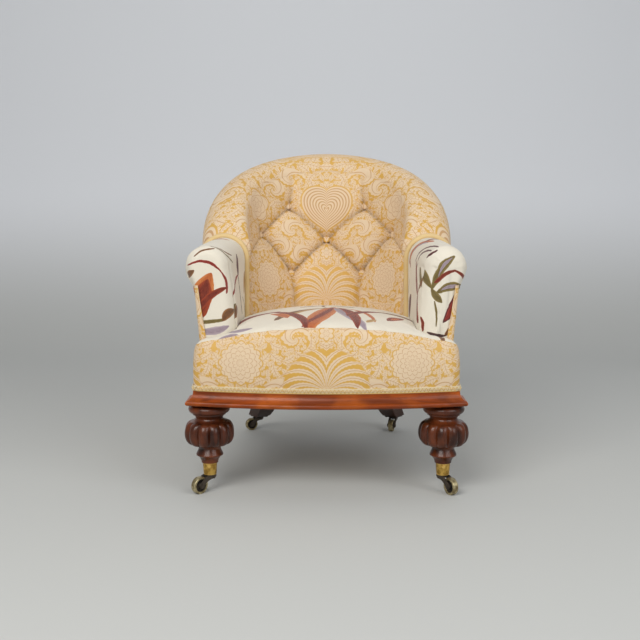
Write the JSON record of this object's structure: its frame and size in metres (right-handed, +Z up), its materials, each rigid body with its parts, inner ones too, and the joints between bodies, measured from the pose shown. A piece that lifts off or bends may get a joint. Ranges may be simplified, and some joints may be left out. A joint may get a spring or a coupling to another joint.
{
  "type": "upholstered low chair",
  "caption": "Low upholstered tub armchair on castors, with a deep-buttoned rolled back, padded arms, a crowned seat and turned front legs.",
  "frame": {"origin": "on the floor under the middle of the chair's bounding box", "axes": "+Z up, the chair faces -Y, +X is the right of the picture"},
  "size_m": [0.6184, 0.7, 0.752],
  "materials": {
    "frame_wood": "matte",
    "show_wood": "polished",
    "dark_wood": "satin",
    "embroidered_cloth": "matte",
    "damask": "satin",
    "braid": "matte",
    "webbing": "matte",
    "hessian": "matte",
    "stuffing": "matte",
    "spring_wire": "satin",
    "brass": "worn",
    "dark_iron": "matte"
  },
  "bodies": {
    "chair": {"back_buttons": "damask", "back_gimp": "braid", "back_hessian": "hessian", "back_rail": "frame_wood", "back_webbing": "webbing", "corner_blocks": "frame_wood", "crest_rail": "frame_wood", "cup_screws": "brass", "front_border": "damask", "front_gimp": "braid", "front_moulding": "show_wood", "front_rail": "frame_wood", "inside_back": "damask", "left_arm_hessian": "hessian", "left_arm_pad": "embroidered_cloth", "left_arm_rail": "frame_wood", "left_arm_stump": "frame_wood", "left_back_leg": "dark_wood", "left_front_cup": "brass", "left_front_leg": "show_wood", "left_front_pin": "dark_iron", "left_outside_arm": "damask", "left_rear_pin": "dark_iron", "left_rear_plate": "dark_iron", "left_side_rail": "frame_wood", "outside_back": "damask", "plate_screws": "dark_iron", "right_arm_hessian": "hessian", "right_arm_pad": "embroidered_cloth", "right_arm_rail": "frame_wood", "right_arm_stump": "frame_wood", "right_back_leg": "dark_wood", "right_front_cup": "brass", "right_front_leg": "show_wood", "right_front_pin": "dark_iron", "right_outside_arm": "damask", "right_rear_pin": "dark_iron", "right_rear_plate": "dark_iron", "right_side_rail": "frame_wood", "seat_cover": "embroidered_cloth", "seat_hessian": "hessian", "seat_springs": "spring_wire", "seat_stuffing": "stuffing", "seat_webbing": "webbing"},
    "left_front_swivel": {"left_front_fork": "dark_iron", "left_front_axle": "dark_iron"},
    "left_front_roller": {"left_front_wheel": "brass"},
    "right_front_swivel": {"right_front_fork": "dark_iron", "right_front_axle": "dark_iron"},
    "right_front_roller": {"right_front_wheel": "brass"},
    "left_rear_swivel": {"left_rear_fork": "dark_iron", "left_rear_axle": "dark_iron"},
    "left_rear_roller": {"left_rear_wheel": "dark_iron"},
    "right_rear_swivel": {"right_rear_fork": "dark_iron", "right_rear_axle": "dark_iron"},
    "right_rear_roller": {"right_rear_wheel": "dark_iron"}
  },
  "joints": [
    {"name": "left_front_swivel_turn", "type": "hinge", "parent": "chair", "child": "left_front_swivel", "pos_m": [-0.255, -0.271, 0.0352], "axis": [0, 0, 1], "continuous": true},
    {"name": "left_front_wheel_roll", "type": "hinge", "parent": "left_front_swivel", "child": "left_front_roller", "pos_m": [-0.27561, -0.2928, 0.0185], "axis": [0.7267, -0.6869, 0], "continuous": true},
    {"name": "right_front_swivel_turn", "type": "hinge", "parent": "chair", "child": "right_front_swivel", "pos_m": [0.255, -0.271, 0.0352], "axis": [0, 0, 1], "continuous": true},
    {"name": "right_front_wheel_roll", "type": "hinge", "parent": "right_front_swivel", "child": "right_front_roller", "pos_m": [0.26995, -0.29701, 0.0185], "axis": [0.867, 0.4983, 0], "continuous": true},
    {"name": "left_rear_swivel_turn", "type": "hinge", "parent": "chair", "child": "left_rear_swivel", "pos_m": [-0.187, 0.301, 0.034], "axis": [0, 0, 1], "continuous": true},
    {"name": "left_rear_wheel_roll", "type": "hinge", "parent": "left_rear_swivel", "child": "left_rear_roller", "pos_m": [-0.20802, 0.29166, 0.0163], "axis": [0.4061, -0.9138, 0], "continuous": true},
    {"name": "right_rear_swivel_turn", "type": "hinge", "parent": "chair", "child": "right_rear_swivel", "pos_m": [0.187, 0.301, 0.034], "axis": [0, 0, 1], "continuous": true},
    {"name": "right_rear_wheel_roll", "type": "hinge", "parent": "right_rear_swivel", "child": "right_rear_roller", "pos_m": [0.18007, 0.27907, 0.0163], "axis": [0.9536, -0.3011, 0], "continuous": true}
  ]
}
